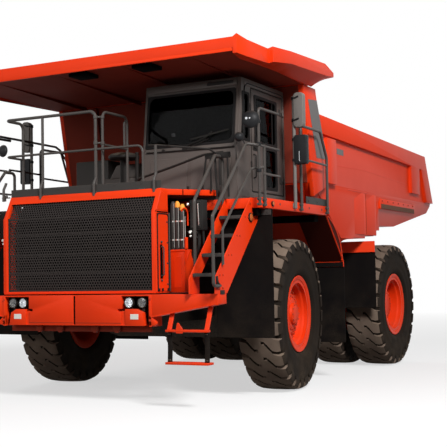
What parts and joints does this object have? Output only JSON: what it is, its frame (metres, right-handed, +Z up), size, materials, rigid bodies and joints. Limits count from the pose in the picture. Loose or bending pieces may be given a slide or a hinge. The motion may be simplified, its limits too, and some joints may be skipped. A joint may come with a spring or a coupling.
{
  "type": "mining dump truck",
  "caption": "Rigid rear-dump mining truck with a tipping bed and canopy, twin rear wheels, steered front wheels, raised deck, stairs, handrails and an offset cab with an opening door",
  "frame": {"origin": "on the ground, under the centre of the whole truck's box at rest", "axes": "+Z up, the truck faces -Y, +X is the truck's left side"},
  "size_m": [5.02, 9.542, 4.748],
  "materials": {
    "orange_paint": "semi-gloss safety orange enamel",
    "cab_paint": "satin grey-brown enamel",
    "dark_paint": "satin dark grey enamel",
    "tube_paint": "satin dark grey enamel on tube",
    "chassis_paint": "dull black chassis paint",
    "tyre_rubber": "matt worn rubber with dust",
    "flap_rubber": "matt rubber sheet",
    "cab_glazing": "clear tinted glass",
    "lamp_glass": "clear lamp lens",
    "amber_lens": "amber plastic lens",
    "seat_cloth": "dark woven cloth",
    "interior_plastic": "grained dark plastic",
    "grille_mesh": "satin black perforated sheet",
    "rod_chrome": "hard chrome rod",
    "hydraulic_cast": "painted cast and forged iron"
  },
  "bodies": {
    "chassis": {"chassis_frame": "chassis_paint", "deck_supports": "chassis_paint", "front_axle_beam": "hydraulic_cast", "rear_axle": "hydraulic_cast", "engine_and_radiator": "hydraulic_cast", "front_housing": "orange_paint", "radiator_grille": "grille_mesh", "front_bumper": "orange_paint", "headlamps": "lamp_glass", "upper_deck": "orange_paint", "deck_kick_plates": "dark_paint", "access_stairs": "orange_paint", "hung_steps": "orange_paint", "handrails": "tube_paint", "cab_shell": "cab_paint", "cab_glass": "cab_glazing", "cab_seat": "seat_cloth", "cab_controls": "interior_plastic", "mud_flaps": "flap_rubber", "fender_guards": "orange_paint", "side_tanks": "orange_paint", "mirrors": "dark_paint", "side_cylinders": "orange_paint", "marker_lamps": "amber_lens", "deck_boxes": "dark_paint"},
    "bed": {"bed_floor": "orange_paint", "bed_side_walls": "orange_paint", "bed_headboard": "orange_paint", "bed_canopy": "orange_paint"},
    "cab_door": {"cab_door": "cab_paint", "door_glass": "cab_glazing"},
    "hoist_barrel_left": {"hoist_barrel_left": "hydraulic_cast"},
    "hoist_rod_left": {"hoist_rod_left": "rod_chrome"},
    "knuckle_left": {"steering_knuckle_left": "hydraulic_cast"},
    "front_wheel_left": {"front_tyre_left": "tyre_rubber", "front_rim_left": "orange_paint"},
    "rear_wheels_left": {"rear_tyres_left": "tyre_rubber", "rear_rims_left": "orange_paint"},
    "hoist_barrel_right": {"hoist_barrel_right": "hydraulic_cast"},
    "hoist_rod_right": {"hoist_rod_right": "rod_chrome"},
    "knuckle_right": {"steering_knuckle_right": "hydraulic_cast"},
    "front_wheel_right": {"front_tyre_right": "tyre_rubber", "front_rim_right": "orange_paint"},
    "rear_wheels_right": {"rear_tyres_right": "tyre_rubber", "rear_rims_right": "orange_paint"}
  },
  "joints": [
    {"name": "bed_tip", "type": "hinge", "parent": "chassis", "child": "bed", "pos_m": [0, 3.195, 1.86], "axis": [-1, 0, 0], "range_deg": [0, 50]},
    {"name": "steering", "type": "hinge", "parent": "chassis", "child": "knuckle_left", "pos_m": [1.44, -2.155, 1.08], "axis": [0, 0, 1], "range_deg": [-45.5, 34.5]},
    {"name": "steering_right", "type": "hinge", "parent": "chassis", "child": "knuckle_right", "pos_m": [-1.44, -2.155, 1.08], "axis": [0, 0, 1], "range_deg": [-45.51, 34.51]},
    {"name": "cab_door_hinge", "type": "hinge", "parent": "chassis", "child": "cab_door", "pos_m": [1.916, -2.114, 3.5], "axis": [0, 0, 1], "range_deg": [0, 34]},
    {"name": "front_wheel_spin_left", "type": "hinge", "parent": "knuckle_left", "child": "front_wheel_left", "pos_m": [1.84413, -2.11609, 1.08], "axis": [0.9954, 0.0958, 0], "continuous": true},
    {"name": "rear_wheels_spin_left", "type": "hinge", "parent": "chassis", "child": "rear_wheels_left", "pos_m": [1.494, 2.162, 1.08], "axis": [1, 0, 0], "continuous": true},
    {"name": "hoist_foot_left", "type": "hinge", "parent": "chassis", "child": "hoist_barrel_left", "pos_m": [0.27, 0.145, 1.08], "axis": [1, 0, 0], "range_deg": [0, 7.12]},
    {"name": "hoist_stroke_left", "type": "slide", "parent": "hoist_barrel_left", "child": "hoist_rod_left", "axis": [0, 0.7967, 0.6044], "range_m": [0, 1.3472]},
    {"name": "front_wheel_spin_right", "type": "hinge", "parent": "knuckle_right", "child": "front_wheel_right", "pos_m": [-1.84413, -2.19391, 1.08], "axis": [0.9954, 0.0958, 0], "continuous": true},
    {"name": "rear_wheels_spin_right", "type": "hinge", "parent": "chassis", "child": "rear_wheels_right", "pos_m": [-1.494, 2.162, 1.08], "axis": [1, 0, 0], "continuous": true},
    {"name": "hoist_foot_right", "type": "hinge", "parent": "chassis", "child": "hoist_barrel_right", "pos_m": [-0.27, 0.145, 1.08], "axis": [1, 0, 0], "range_deg": [0, 7.12]},
    {"name": "hoist_stroke_right", "type": "slide", "parent": "hoist_barrel_right", "child": "hoist_rod_right", "axis": [0, 0.7967, 0.6044], "range_m": [0, 1.3472]}
  ],
  "couplings": [
    {"joint": "steering_right", "follows": "steering", "ratio": 1},
    {"joint": "hoist_foot_left", "follows": "bed_tip", "ratio": 0.14215},
    {"joint": "hoist_stroke_left", "follows": "bed_tip", "m_per_rad": 1.5432},
    {"joint": "hoist_foot_right", "follows": "bed_tip", "ratio": 0.14215},
    {"joint": "hoist_stroke_right", "follows": "bed_tip", "m_per_rad": 1.5432}
  ]
}
